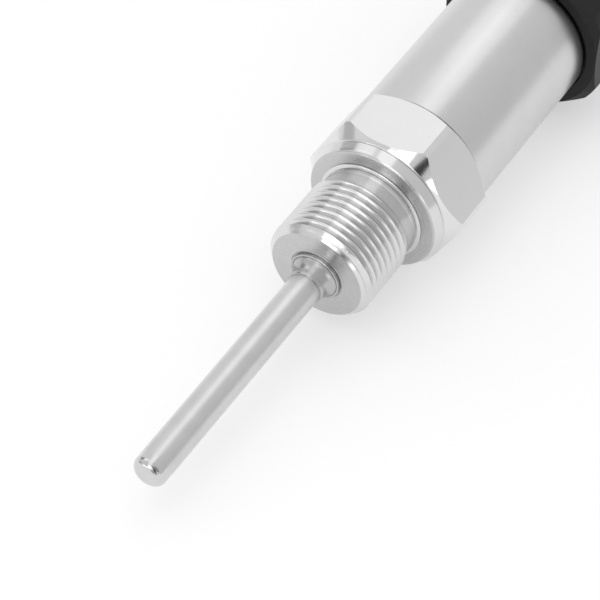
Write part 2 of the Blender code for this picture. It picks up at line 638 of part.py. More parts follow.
def make_terminals():
    """A two-pole screw terminal. The wires of the cable enter from the cable side, the screws stand on top."""
    middle = TERMINAL_FRONT + TERMINAL_LENGTH / 2
    mesh = box_mesh("terminal_block", TERMINAL_HEIGHT, TERMINAL_WIDTH, TERMINAL_LENGTH)
    block = add_part("terminal_block", mesh, "green_plastic", (on_board(1, TERMINAL_HEIGHT), 0, middle))
    floor = BOARD_TOP + SEAT_GAP
    pocket_middle = -(floor + CLAMP_WALL + TERMINAL_POCKET / 2)
    clamp_size = TERMINAL_POCKET - 2 * FIT_GAP
    clamp_middle = TERMINAL_REAR - TERMINAL_POCKET_DEPTH + SEAT_GAP + CLAMP_LENGTH / 2
    top = -(floor + TERMINAL_HEIGHT)
    clamp_top = pocket_middle - clamp_size / 2
    screw_length = abs(top - clamp_top) - SEAT_GAP
    for number, side in enumerate((-1, 1), start=1):
        across = side * TERMINAL_PITCH / 2
        pocket = box_mesh("wire_pocket", TERMINAL_POCKET, TERMINAL_POCKET, 2 * TERMINAL_POCKET_DEPTH)
        boolean(block, add_cutter("wire_pocket", pocket, (pocket_middle, across, TERMINAL_REAR)))
        well = cylinder_mesh("screw_well", SCREW_HEAD_RADIUS + FIT_GAP, TERMINAL_HEIGHT, SMALL_STEPS)
        cutter = add_cutter("screw_well", well, (pocket_middle, across, clamp_middle))
        cutter.rotation_euler = (0, -math.pi / 2, 0)
        boolean(block, cutter)
        clamp = add_part("terminal_clamp_%d" % number,
                         box_mesh("terminal_clamp", clamp_size, clamp_size, CLAMP_LENGTH),
                         "tinned_steel", (pocket_middle, across, clamp_middle))
        opening = clamp_size - 2 * CLAMP_WALL
        window = box_mesh("clamp_window", opening, opening, 2 * CLAMP_LENGTH)
        boolean(clamp, add_cutter("clamp_window", window, (pocket_middle, across, clamp_middle)))
        outline = [(0, 0), (SCREW_SHANK_RADIUS, 0), (SCREW_SHANK_RADIUS, screw_length - SCREW_HEAD_HEIGHT),
                   (SCREW_HEAD_RADIUS, screw_length - SCREW_HEAD_HEIGHT), (SCREW_HEAD_RADIUS, screw_length),
                   (0, screw_length)]
        screw = turned("terminal_screw_%d" % number, outline, [], "tinned_steel", SMALL_STEPS)
        screw.location = (clamp_top - SEAT_GAP, across, clamp_middle)
        screw.rotation_euler = (0, -math.pi / 2, 0)
        slot = box_mesh("screw_slot", SCREW_SLOT, 3 * SCREW_HEAD_RADIUS, SCREW_HEAD_HEIGHT)
        cutter = add_cutter("screw_slot", slot, (clamp_top - SEAT_GAP - screw_length, across, clamp_middle))
        cutter.rotation_euler = (0, -math.pi / 2, 0)
        boolean(screw, cutter)


def apply_modifiers():
    """Give each part its evaluated mesh, smooth where it is round, and take the cutters away."""
    depsgraph = bpy.context.evaluated_depsgraph_get()
    parts = [part for part in PARTS.objects if part.type == "MESH"]
    meshes = [bpy.data.meshes.new_from_object(part.evaluated_get(depsgraph)) for part in parts]
    for part, mesh in zip(parts, meshes):
        part.modifiers.clear()
        part.data = mesh
        mesh.shade_smooth()
        mesh.set_sharp_from_angle(angle=SHARP_ANGLE)
    for cutter in list(CUTTERS.objects):
        bpy.data.objects.remove(cutter)
    return parts


def lay_down(parts):
    """Lay the stack on one flat of its hexagon and one corner of its cap, centred on its footprint."""
    ROOT.rotation_euler = (0, math.pi / 2 - REST_TILT, 0)
    bpy.context.view_layer.update()
    corners = [part.matrix_world @ vertex.co for part in parts for vertex in part.data.vertices]
    xs = [corner.x for corner in corners]
    ROOT.location = (-(min(xs) + max(xs)) / 2, 0, -min(corner.z for corner in corners))


make_probe_sheath()
make_process_fitting()
make_housing_tube()
make_o_ring("fitting_o_ring", SPIGOT_REAR - SPIGOT_LENGTH / 2)
make_o_ring("cap_o_ring", CAP_SPIGOT_FRONT + CAP_SPIGOT_LENGTH / 2)
make_end_cap()
make_gland_gasket()
make_gland_body()
make_gland_seal()
make_gland_washer()
make_gland_nut()
make_probe_inside()
make_sensor_wires()
make_board()
make_sensor_header()
make_components()
make_terminals()
lay_down(apply_modifiers())
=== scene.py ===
# %% [markdown]
# # A temperature transmitter with a screw-in probe
# The real object is a small process instrument. A thin closed steel tube holds the sensing element,
# a turned steel fitting screws into the vessel, a satin tube houses the board, and a black cap with
# a cable gland closes the rear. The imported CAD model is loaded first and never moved: it is the
# frame that every visible piece is set on.

# %% Load the frame
import math

import bmesh
import bpy
from mathutils import Matrix, Vector


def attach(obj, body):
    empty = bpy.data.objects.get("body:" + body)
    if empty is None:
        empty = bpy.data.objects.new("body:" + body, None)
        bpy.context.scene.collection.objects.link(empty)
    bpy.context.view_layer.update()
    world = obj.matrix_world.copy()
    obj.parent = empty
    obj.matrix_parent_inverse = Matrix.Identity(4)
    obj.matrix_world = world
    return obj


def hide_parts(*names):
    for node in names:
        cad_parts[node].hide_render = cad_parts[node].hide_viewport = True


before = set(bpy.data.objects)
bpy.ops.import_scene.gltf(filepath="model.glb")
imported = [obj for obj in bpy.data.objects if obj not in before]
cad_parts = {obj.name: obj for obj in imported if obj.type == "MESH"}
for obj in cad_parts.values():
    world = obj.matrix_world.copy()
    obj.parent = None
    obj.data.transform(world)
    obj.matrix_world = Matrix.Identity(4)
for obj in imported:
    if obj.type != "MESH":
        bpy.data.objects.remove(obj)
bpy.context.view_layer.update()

# %% [markdown]
# ## The bench frame
# A lathe works round one axis, so each piece is modelled upright, with the probe tip at zero and Z
# as the turning axis, and is laid down when it is finished. The object rests on one flat of its
# hexagon and one corner of its cap, which tilts the axis by about four degrees. Lengths are written
# in millimetres and turned into metres once.

# %% The bench frame
MM = 0.001                                  # one millimetre in metres
TILT = math.radians(3.9553)                 # of the axis, as the object lies on the table
TIP = Vector((-0.0768275, 0.0, 0.0086055))  # where the front end of the probe lies
REST = Matrix.Translation(TIP) @ Matrix.Rotation(math.pi / 2 - TILT, 4, "Y")


def only(piece):
    """Select one object and nothing else."""
    bpy.ops.object.select_all(action="DESELECT")
    piece.select_set(True)
    bpy.context.view_layer.objects.active = piece


def lay_down(piece):
    """Carry a finished piece from the bench to its place, and leave the move in its mesh."""
    only(piece)
    piece.matrix_world = REST @ piece.matrix_world
    bpy.ops.object.transform_apply(location=True, rotation=True, scale=True)
    print(piece.name, "has", len(piece.data.polygons), "faces")


print("tip of the probe in mm:", [round(value / MM, 2) for value in TIP])

# %% [markdown]
# ## Drawing half a section and spinning it
# Every turned piece starts as one vertex, which is extruded along half of the section, like a line
# drawn with the pen. The spin operator carries that line round the axis. A line that starts and
# ends on the axis makes a solid end, and a closed line makes a tube. Doubles are merged before the
# normals are made consistent, or the seam stays open.

# %% Draw a section
MERGE = 0.001 * MM  # points closer than this are one point


def draw(name, points):
    """A chain of edges through points (radius, station), left in edit mode."""
    bpy.ops.object.select_all(action="DESELECT")
    bpy.ops.mesh.primitive_plane_add(size=MM, location=(0, 0, 0))
    piece = bpy.context.object
    piece.name = name
    bpy.ops.object.mode_set(mode="EDIT")
    bpy.ops.mesh.select_mode(type="VERT")
    bpy.ops.mesh.merge(type="CENTER")
    bpy.ops.transform.translate(value=(points[0][0] * MM, 0, points[0][1] * MM))
    for (radius, station), (next_radius, next_station) in zip(points, points[1:]):
        step = ((next_radius - radius) * MM, 0, (next_station - station) * MM)
        bpy.ops.mesh.extrude_region_move(TRANSFORM_OT_translate={"value": step})
    bpy.ops.mesh.select_all(action="SELECT")
    bpy.ops.mesh.remove_doubles(threshold=MERGE)
    return piece


# %% Spin it round the axis
SHARP = math.radians(33)  # an edge with a larger angle shows as an edge


def close_up():
    """Merge doubles and turn all faces outwards."""
    bpy.ops.mesh.select_all(action="SELECT")
    bpy.ops.mesh.remove_doubles(threshold=MERGE)
    bpy.ops.mesh.normals_make_consistent(inside=False)


def turned(name, points, steps=144, closed=True):
    """A piece turned on the lathe."""
    piece = draw(name, points + points[:1] if closed else points)
    bpy.ops.mesh.spin(steps=steps, angle=math.tau, center=(0, 0, 0), axis=(0, 0, 1))
    close_up()
    bpy.ops.object.mode_set(mode="OBJECT")
    bpy.ops.object.shade_smooth_by_angle(angle=SHARP)
    return piece


# %% A rounded corner in a section
def rounded(radius, station, corner, start, steps):
    """Points of a rounded corner about (radius, station), from the angle start on."""
    points = []
    for step in range(steps + 1):
        angle = math.radians(start + 90 * step / steps)
        points.append((radius + corner * math.cos(angle), station + corner * math.sin(angle)))
    return points


# %% [markdown]
# ## Milling and threading
# Flats are milled on a turned blank: the blank is intersected with a six-sided prism. A thread is
# cut by a tool whose tooth travels along a helix, so the tooth's section is carried round by a
# Screw modifier and subtracted. The exact boolean solver is used for both, because it copes with
# faces that lie in one plane.

# %% Mill
def combine(piece, tool, operation):
    """Apply an exact boolean and take the tool away."""
    only(piece)
    modifier = piece.modifiers.new(operation.lower(), "BOOLEAN")
    modifier.solver = "EXACT"
    modifier.operation = operation
    modifier.object = tool
    bpy.ops.object.modifier_apply(modifier=modifier.name)
    bpy.data.objects.remove(tool)


def prism(sides, across_flats, front, rear, turn=0.0):
    """A prism along Z between two stations. Unturned, two of its flats face X."""
    radius = across_flats / 2 / math.cos(math.pi / sides) * MM
    bpy.ops.object.select_all(action="DESELECT")
    bpy.ops.mesh.primitive_cylinder_add(vertices=sides, radius=radius, depth=(rear - front) * MM,
                                        location=(0, 0, (front + rear) / 2 * MM), rotation=(0, 0, turn))
    return bpy.context.object


# %% The path of a thread tool
def thread_tool(section, pitch, start, turns, steps=72):
    """The path of a thread tool: a closed section carried along a helix from a station."""
    tool = draw("thread_tool", [(radius, station + start) for radius, station in section + section[:1]])
    bpy.ops.object.mode_set(mode="OBJECT")
    modifier = tool.modifiers.new("helix", "SCREW")
    modifier.angle = math.tau * turns
    modifier.screw_offset = pitch * turns * MM
    modifier.steps = int(steps * turns)
    modifier.render_steps = modifier.steps
    only(tool)
    bpy.ops.object.modifier_apply(modifier="helix")
    bpy.ops.object.mode_set(mode="EDIT")
    bpy.ops.mesh.select_all(action="SELECT")
    bpy.ops.mesh.fill_holes(sides=0)
    close_up()
    bpy.ops.object.mode_set(mode="OBJECT")
    return tool


# %% [markdown]
# ## Broken edges
# Milling and threading leave razor edges that no real part has. The sharp ones are found by their
# angle and get a tiny bevel that catches light. Weighted normals then keep the large faces flat, so
# that only the bevel looks round.

# %% Break the edges
KEEN = math.radians(25)  # an edge with a larger angle is broken


def break_edges(piece, width, front, rear, outside, segments=2):
    """Bevel the sharp edges between two stations and outside a radius."""
    only(piece)
    bpy.ops.object.mode_set(mode="EDIT")
    bpy.ops.mesh.select_mode(type="EDGE")
    bpy.ops.mesh.select_all(action="DESELECT")
    mesh = bmesh.from_edit_mesh(piece.data)
    count = 0
    for edge in mesh.edges:
        middle = (edge.verts[0].co + edge.verts[1].co) / 2
        within = front * MM < middle.z < rear * MM and middle.xy.length >= outside * MM
        if within and len(edge.link_faces) == 2 and edge.calc_face_angle() > KEEN:
            edge.select_set(True)
            count += 1
    bmesh.update_edit_mesh(piece.data)
    bpy.ops.mesh.bevel(offset=width * MM, segments=segments, affect="EDGES", clamp_overlap=True)
    bpy.ops.object.mode_set(mode="OBJECT")
    print(piece.name, "has", count, "broken edges")


def even_shading(piece):
    """Smooth shading that keeps the large faces flat."""
    only(piece)
    bpy.ops.object.shade_smooth_by_angle(angle=SHARP)
    modifier = piece.modifiers.new("weighted", "WEIGHTED_NORMAL")
    modifier.keep_sharp = True
    bpy.ops.object.modifier_apply(modifier="weighted")


# %% [markdown]
# ## The direction of the tool marks
# Turned steel reflects light in long streaks, because its fine grooves all run round the axis. The
# shader needs to know which way is across the grooves. A UV map tells it: U grows along the section
# and V round the axis, and the tangent of that map is the direction across the grooves, on faces as
# well as on cylinders.

# %% A UV map across the tool marks
def groove_map(piece):
    """U runs along the section in millimetres, V round the axis in turns."""
    mesh = piece.data
    layer = mesh.uv_layers.new(name="tool_marks")
    for polygon in mesh.polygons:
        middle = math.atan2(polygon.center.y, polygon.center.x)
        for loop in polygon.loop_indices:
            point = mesh.vertices[mesh.loops[loop].vertex_index].co
            angle = math.atan2(point.y, point.x) if point.xy.length > MERGE else middle
            angle += math.tau * round((middle - angle) / math.tau)
            layer.data[loop].uv = ((point.z - point.xy.length) / MM, angle / math.tau)


# %% [markdown]
# ## The process fitting
# One bar of stainless steel carries the welded neck of the probe, the M20 thread, a relief groove,
# the sealing collar and the hexagon. On a lathe this is one setup, so the outline is drawn in one
# line from the neck to the rear spigot and back through the bore. The thread is cut afterwards and
# runs out in the relief, as the real one does.

# %% Turn the blank of the fitting
neck = [(3.02, 46.45), (3.2, 46.5), (3.28, 46.65), (3.3, 47.2), (3.4, 47.8), (3.58, 48.3),
        (3.85, 48.7), (4.12, 49.0), (4.28, 49.2), (4.3, 49.3)]
weld_ring = rounded(4.5, 49.62, 0.32, -125, 9)[:-1]
weld_ring += [(4.68, 49.98), (4.74, 50.1), (4.86, 50.1), (4.94, 49.98), (5.05, 49.94), (5.3, 50.0)]
thread_blank = [(8.75, 50.0), (9.95, 51.2), (9.95, 62.95), (9.07, 63.62), (9.05, 64.4), (9.12, 65.1),
                (9.28, 66.0), (9.36, 66.72), (9.2, 66.8), (9.2, 66.95), (9.84, 67.12), (9.95, 67.2),
                (9.95, 67.38), (9.8, 67.46)]
collar = [(11.9, 67.62), (12.15, 67.68), (12.38, 67.82), (12.53, 68.05), (12.62, 68.4), (12.98, 69.5),
          (13.0, 69.58), (12.8, 69.72), (12.76, 69.86), (12.98, 69.98), (13.1, 70.06)]
hexagon = [(15.24, 72.14), (15.24, 80.05), (13.3, 81.7)]
spigot = [(11.6, 81.7), (11.6, 87.7), (8.0, 87.7), (8.0, 72.6), (3.05, 72.6)]
outline = neck + weld_ring + thread_blank + collar + hexagon + spigot
fitting = turned("fitting_steel", outline, steps=180)

# %% Mill the hexagon of the fitting
WRENCH = 27.0  # across the flats
combine(fitting, prism(6, WRENCH, 46.0, 88.0), "INTERSECT")
break_edges(fitting, 0.05, 70.2, 81.6, outside=13.3)

# %% [markdown]
# ## The thread
# The thread is 20 mm across with a pitch of 1.5 mm, and its flanks stand at about 60 degrees. The
# tooth that cuts it is drawn as it would be ground, with a narrow nose for the root, straight
# flanks and a wider mouth that takes the sharpness off the crests. It starts in front of the blank
# and runs out in the relief, as a real tool does.

# %% Cut the thread of the fitting
PITCH = 1.5
tooth = [(9.12, -0.10), (9.16, -0.15), (9.84, -0.53), (9.93, -0.62), (9.965, -0.66), (10.5, -0.66),
         (10.5, 0.66), (9.965, 0.66), (9.93, 0.62), (9.84, 0.53), (9.16, 0.15), (9.12, 0.10)]
combine(fitting, thread_tool(tooth, PITCH, start=48.15, turns=10.72), "DIFFERENCE")
even_shading(fitting)
groove_map(fitting)
print(fitting.name, "has a thread with a pitch of", PITCH, "mm")

# %% [markdown]
# ## Five finishes on one piece
# The fitting is one piece of steel, but each tool left its own finish on it. The faces are told
# apart by their place: the flats of the hexagon keep the skin of the drawn bar, the neck is welded,
# the chamfers and edges of the hexagon are bright, and the lead-in, the thread above its root and
# the rims behind it are honed. The rest stays as it was turned.

# %% Tell the faces of the fitting apart
TURNED, FLAT, WELDED, BRIGHT, HONED = range(5)


def lands(station):
    """The radius outside which a face at a station is honed."""
    if station > 67.4:
        return 12.45
    return 8.8 if station < 51.3 or station > 66.6 else 9.3


def finish_of(face):
    """The material slot of a face, by its place on the bench."""
    radius, station = face.center.xy.length, face.center.z
    if abs(face.normal.z) < 0.01 and abs(face.normal.dot(face.center) - WRENCH / 2 * MM) < 0.002 * MM:
        return FLAT
    if radius < 4.9 * MM and station < 50.5 * MM:
        return WELDED
    if 70.1 * MM < station < 81.6 * MM and radius > 12.5 * MM:
        return BRIGHT
    if 50.05 * MM < station < 70.1 * MM and radius > lands(station / MM) * MM:
        return HONED
    return TURNED


counts = [0] * 5
for face in fitting.data.polygons:
    face.material_index = finish_of(face)
    counts[face.material_index] += 1
print("faces turned, flat, welded, bright and honed:", counts)
lay_down(fitting)
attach(fitting, "transmitter")
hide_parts("process_fitting")

# %% [markdown]
# ## The probe
# The probe is a tube of six millimetres with a closed, rounded tip. It is a plain round bar from
# outside, so all its likeness is in the tip, where the end is welded shut and ground over to a soft
# radius of half the bar's own. The last stroke of the grinder leaves one small flat on that radius.
# A bisecting plane cuts it here, and its edges are marked sharp, or the shading would run over
# them.

# %% Turn the probe and grind its tip
TIP_RADIUS = 1.5
GRIND_DEPTH = 0.016
tip = [(0.0, 0.0), (0.8, 0.0)] + rounded(TIP_RADIUS, TIP_RADIUS, TIP_RADIUS, -90, 24)
shank = [(3.0, 20.0), (3.0, 46.9), (3.0, 74.6), (0.0, 74.6)]
probe = turned("probe_steel", tip + shank, closed=False)
ground = Vector((-0.581, -0.445, -0.682)).normalized()
middle = Vector((-1.191, -0.912, TIP_RADIUS))
corner = middle + (TIP_RADIUS - GRIND_DEPTH) * ground
only(probe)
bpy.ops.object.mode_set(mode="EDIT")
bpy.ops.mesh.select_all(action="SELECT")
bpy.ops.mesh.bisect(plane_co=corner * MM, plane_no=ground, use_fill=True, clear_outer=True)
bpy.ops.mesh.mark_sharp()
close_up()
bpy.ops.object.mode_set(mode="OBJECT")
even_shading(probe)
groove_map(probe)
lay_down(probe)
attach(probe, "transmitter")
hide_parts("probe_sheath")

# %% [markdown]
# ## The housing tube
# A length of satin tube slips over the spigots of the fitting and of the cap. Its rear end is
# rolled in to a visible radius that the cap laps over, and its front end only has its edge broken,
# so the seam to the hexagon reads as one thin dark line.

# %% Turn the housing
OUTSIDE, INSIDE = 13.25, 11.75
FRONT, REAR = 81.86, 119.6
BROKEN, ROLLED = 0.14, 1.3  # the radius of the front edge and of the rear one
wall = rounded(OUTSIDE - BROKEN, FRONT + BROKEN, BROKEN, -90, 3)
wall += rounded(OUTSIDE - ROLLED, REAR - ROLLED, ROLLED, 0, 8)
housing = turned("housing_steel", wall + [(INSIDE, REAR), (INSIDE, FRONT)], steps=180)
groove_map(housing)
lay_down(housing)
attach(housing, "transmitter")
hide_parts("housing_tube")

# %% [markdown]
# ## The black end cap
# The cap is moulded in black plastic: a hexagon of 31 mm with its corners turned down and both
# faces chamfered, and a plug that goes into the tube. Moulded edges are rounder than milled ones,
# so its bevel is five times as wide as the fitting's.

# %% Turn and mill the cap
CAP_WRENCH = 31.0
plug = [(9.0, 113.9), (11.6, 113.9), (11.6, 116.0), (10.25, 116.0), (10.25, 117.8), (11.6, 117.8),
        (11.6, 119.9)]
rim = [(13.35, 119.9), (13.35, 119.35), (13.55, 119.2), (15.5, 119.2), (16.92, 120.15), (17.0, 121.2)]
shell = [(17.0, 131.19), (14.9, 132.4), (8.05, 132.4), (8.05, 124.6), (9.0, 124.6)]
cap = turned("cap_black", plug + rim + shell)
combine(cap, prism(6, CAP_WRENCH, 113.0, 133.0, math.pi / 6), "INTERSECT")
break_edges(cap, 0.25, 119.1, 132.5, outside=14.0, segments=3)
even_shading(cap)
lay_down(cap)
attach(cap, "transmitter")
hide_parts("end_cap")

# %% [markdown]
# ## The cable gland
# The gland has five pieces: a body with a hexagonal flange and slotted fingers, a gasket under the
# flange, a rubber seal in the fingers, a loose washer, and a domed nut that squeezes them on the
# cable. The body, the gasket and the seal stay with the transmitter, the washer slides and the nut
# turns as it slides, so each piece rides on the CAD body that carries its node.

# %% The gland body
GLAND_WRENCH = 22.0
stem = [(5.2, 124.9), (7.9, 124.9), (7.9, 134.0)]
flange = [(11.0, 134.0), (12.9, 134.8), (12.9, 137.7), (11.0, 138.5)]
fingers = [(7.9, 138.5), (7.9, 144.2), (7.2, 145.2), (7.2, 149.5), (6.2, 149.5), (6.2, 138.5), (5.2, 138.5)]
body = turned("gland_body_black", stem + flange + fingers, steps=108)
combine(body, prism(6, GLAND_WRENCH, 124.0, 150.0), "INTERSECT")
break_edges(body, 0.2, 133.9, 138.6, outside=8.5)
small_tooth = [(7.3, -0.12), (7.84, -0.5), (8.3, -0.62), (8.3, 0.62), (7.84, 0.5), (7.3, 0.12)]
combine(body, thread_tool(small_tooth, PITCH, start=139.6, turns=3.4, steps=54), "DIFFERENCE")

# %% Slot the fingers
SLOT_WIDTH, SLOT_LENGTH = 1.0, 16
for turn in range(3):
    slot = prism(4, SLOT_WIDTH, 145.3, 150.0)
    only(slot)
    bpy.ops.transform.resize(value=(1, SLOT_LENGTH / SLOT_WIDTH, 1))
    bpy.ops.transform.rotate(value=-turn * math.pi / 3, orient_axis="Z", center_override=(0, 0, 0))
    combine(body, slot, "DIFFERENCE")
even_shading(body)
lay_down(body)
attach(body, "transmitter")
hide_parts("gland_body")

# %% [markdown]
# Three small rings sit inside the gland. The gasket is a flat ring whose front edge is rounded by
# the squeeze, the seal has three shallow grooves in its bore that grip the cable, and the washer is
# a stamped ring with broken edges. All are turned from a drawn section, which costs no more than a
# plain ring and gives the edges their light.

# %% The gasket
front = [(8.2, 132.7), (10.0, 132.7)] + rounded(9.9, 133.2, 0.3, -90, 4)[1:]
gasket = turned("gasket_rubber", front + [(10.0, 133.7), (8.2, 133.7)], steps=96)
lay_down(gasket)
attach(gasket, "transmitter")
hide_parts("gland_gasket")

# %% The seal
lip = [(6.05, 138.8), (6.05, 149.4), (5.9, 149.5), (4.5, 149.5), (4.0, 149.0)]
for groove in range(3):
    rear = 147.6 - 2.6 * groove
    lip += [(4.0, rear), (4.5, rear - 0.6), (4.5, rear - 1.0), (4.0, rear - 1.6)]
seal = turned("seal_rubber", lip + [(4.0, 138.8)], steps=96)
lay_down(seal)
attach(seal, "transmitter")
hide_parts("gland_seal")

# %% The washer
ring = [(4.6, 149.9), (4.7, 149.8), (7.1, 149.8), (7.2, 149.9),
        (7.2, 150.7), (7.1, 150.8), (4.7, 150.8), (4.6, 150.7)]
washer = turned("washer_white", ring, steps=96)
lay_down(washer)
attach(washer, "clamp_washer")
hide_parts("gland_washer")

# %% [markdown]
# The nut is the last piece: a hexagon whose rear runs out into a dome, with a mouth for the cable.
# The dome is a quarter of an ellipse in the drawn section, and milling the flats afterwards gives
# the curved lines where flat and dome meet.

# %% The gland nut
dome = [(8.0 + 3.0 * math.cos(math.radians(angle)), 148.9 + 4.7 * math.sin(math.radians(angle)))
        for angle in range(0, 91, 9)]
mouth = [(4.9, 153.6), (4.6, 153.3), (4.6, 151.1), (8.05, 151.1), (8.05, 139.9), (8.5, 139.5)]
nut = turned("nut_black", [(11.0, 139.5), (12.9, 140.3), (12.9, 147.3)] + dome + mouth)
combine(nut, prism(6, GLAND_WRENCH, 139.0, 154.0), "INTERSECT")
break_edges(nut, 0.2, 139.4, 149.5, outside=9.0)
even_shading(nut)
lay_down(nut)
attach(nut, "clamp_nut")
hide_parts("gland_nut")

# %% [markdown]
# ## Materials
# A small helper adds shader nodes, sets their inputs and links sockets that are passed in their
# place.

# %% A helper for shader nodes
def node(tree, kind, inputs=None, **settings):
    """A new shader node. An input is given a value, or is linked when it is given a socket."""
    made = tree.nodes.new(kind)
    for name, value in settings.items():
        setattr(made, name, value)
    for name, value in (inputs or {}).items():
        if isinstance(value, bpy.types.NodeSocket):
            tree.links.new(value, made.inputs[name])
        else:
            made.inputs[name].default_value = value
    return made


# %% [markdown]
# ## Tool marks
# A lathe leaves a groove at every turn of its feed, and no two are equally deep. The group turns
# the point on the surface back into the bench frame, takes how far the tool has travelled there,
# along the axis and outwards, and reads a one-dimensional noise at that distance. A second noise,
# stretched round the axis, lets the lines break up.

# %% Helpers for node groups
def new_group(name, inputs, outputs):
    """A shader node group with named sockets, and its input and output nodes."""
    group = bpy.data.node_groups.new(name, "ShaderNodeTree")
    for label, kind, value in inputs:
        socket = group.interface.new_socket(label, in_out="INPUT", socket_type=kind)
        if value is not None:
            socket.default_value = value
    for label, kind in outputs:
        group.interface.new_socket(label, in_out="OUTPUT", socket_type=kind)
    return group, group.nodes.new("NodeGroupInput").outputs, group.nodes.new("NodeGroupOutput")


def calculate(tree, operation, first, second=0.0, third=0.0):
    """The result of a Math node on sockets or numbers."""
    made = node(tree, "ShaderNodeMath", operation=operation)
    for socket, value in zip(made.inputs, (first, second, third)):
        if isinstance(value, bpy.types.NodeSocket):
            tree.links.new(value, socket)
        else:
            socket.default_value = value
    return made.outputs[0]


def put_out(group, end, values):
    """Link values to the outputs of a group."""
    for label, value in values.items():
        group.links.new(value, end.inputs[label])
    print("group", group.name, "puts out", ", ".join(values))


# %% A point's place on the bench
BACK = REST.inverted()


def bench_place(tree):
    """A point's place on the bench, and its radius and its station in millimetres."""
    point = node(tree, "ShaderNodeTexCoord").outputs["Object"]
    move = {"Vector": point, "Location": BACK.translation, "Rotation": BACK.to_euler()}
    turned_back = node(tree, "ShaderNodeMapping", move).outputs[0]
    parts = node(tree, "ShaderNodeSeparateXYZ", {"Vector": turned_back}).outputs
    square = calculate(tree, "MULTIPLY", parts["Y"], parts["Y"])
    square = calculate(tree, "MULTIPLY_ADD", parts["X"], parts["X"], square)
    radius = calculate(tree, "MULTIPLY", calculate(tree, "SQRT", square), 1 / MM)
    return turned_back, radius, calculate(tree, "MULTIPLY", parts["Z"], 1 / MM)


# %% The group for tool marks
FINE = 4000.0   # cells of the grain in a metre
SLOW = 260.0    # cells of the patches in a metre
marks, given, wanted = new_group(
    "tool marks",
    [("Feed", "NodeSocketFloat", 0.2), ("Depth", "NodeSocketFloat", 0.2), ("Grain", "NodeSocketFloat", 0.1),
     ("Stretch", "NodeSocketFloat", 1.0)],
    [("Normal", "NodeSocketVector"), ("Lines", "NodeSocketFloat"), ("Patches", "NodeSocketFloat"),
     ("Radius", "NodeSocketFloat"), ("Station", "NodeSocketFloat")])
bench, radius, station = bench_place(marks)
steps = calculate(marks, "DIVIDE", calculate(marks, "SUBTRACT", station, radius), given["Feed"])
lines = node(marks, "ShaderNodeTexNoise", {"W": steps, "Scale": 1.0, "Detail": 2.0, "Roughness": 0.7},
             noise_dimensions="1D").outputs["Fac"]
along_axis = calculate(marks, "DIVIDE", FINE, given["Stretch"])
scale = node(marks, "ShaderNodeCombineXYZ", {"X": FINE, "Y": FINE, "Z": along_axis})
along = node(marks, "ShaderNodeVectorMath", {0: bench, 1: scale.outputs[0]}, operation="MULTIPLY").outputs[0]
grain = node(marks, "ShaderNodeTexNoise", {"Vector": along, "Scale": 1.0, "Detail": 2.0}).outputs["Fac"]
patches = node(marks, "ShaderNodeTexNoise", {"Vector": bench, "Scale": SLOW, "Detail": 3.0}).outputs["Fac"]
height = calculate(marks, "MULTIPLY", lines, given["Depth"])
height = calculate(marks, "MULTIPLY_ADD", grain, given["Grain"], height)
bump = node(marks, "ShaderNodeBump", {"Height": height, "Strength": 1.0, "Distance": 0.01 * MM})
put_out(marks, wanted, {"Normal": bump.outputs[0], "Lines": lines, "Patches": patches, "Radius": radius,
                        "Station": station})

# %% [markdown]
# ## Seven finishes of stainless steel
# One steel looks different wherever another tool was last on it. The turned faces show long
# streaks, the honed and the bright ones shine, the flats are plain, the weld is rippled, the
# housing is satin from a belt and the probe is rolled smooth. All seven come from one function,
# which gives the group its own values. Where a tool went round, the highlight is stretched across
# the grooves, because the grooves themselves are too fine to model.

# %% A metal or plastic that varies
def principled(name, colour, roughness, metallic=0.0):
    """A material with a Principled shader, its node tree and the shader node."""
    material = bpy.data.materials.new(name)
    material.use_nodes = True
    tree = material.node_tree
    shader = tree.nodes["Principled BSDF"]
    shader.inputs["Base Color"].default_value = (*colour, 1)
    shader.inputs["Metallic"].default_value = metallic
    shader.inputs["Roughness"].default_value = roughness
    return material, tree, shader


def vary(tree, shader, group, tint, colours, gloss, rough):
    """Let one output of a group lead the colour, dark to light, and one the roughness, low to high."""
    dark, light = ((*colour, 1) for colour in colours)
    colour = node(tree, "ShaderNodeMix", {"Factor": group.outputs[tint], "A": dark, "B": light},
                  data_type="RGBA")
    span = {"Value": group.outputs[gloss], "To Min": rough[0], "To Max": rough[1]}
    tree.links.new(colour.outputs["Result"], shader.inputs["Base Color"])
    tree.links.new(node(tree, "ShaderNodeMapRange", span).outputs[0], shader.inputs["Roughness"])
    tree.links.new(group.outputs["Normal"], shader.inputs["Normal"])


def paint_over(tree, shader, where, colour):
    """Lay a colour over the base colour where a mask is high."""
    over = node(tree, "ShaderNodeMix", {"Factor": where, "B": (*colour, 1)}, data_type="RGBA")
    tree.links.new(shader.inputs["Base Color"].links[0].from_socket, over.inputs["A"])
    tree.links.new(over.outputs["Result"], shader.inputs["Base Color"])


# %% A steel with tool marks
def steel(name, grey, rough, streak, feed, depth, grain, stretch=1.0):
    """Stainless steel with tool marks. Grey and rough are pairs, and streak is how far highlights stretch."""
    dark, light = [grey[0]] * 3, [grey[1]] * 3
    material, tree, shader = principled(name, light, rough[1], metallic=1.0)
    values = {"Feed": feed, "Depth": depth, "Grain": grain, "Stretch": stretch}
    group = node(tree, "ShaderNodeGroup", values, node_tree=marks)
    vary(tree, shader, group, "Patches", (dark, light), "Lines", rough)
    if streak:
        shader.inputs["Anisotropic"].default_value = streak
        tangent = node(tree, "ShaderNodeTangent", direction_type="UV_MAP", uv_map="tool_marks")
        tree.links.new(tangent.outputs[0], shader.inputs["Tangent"])
    return material, tree, shader, group


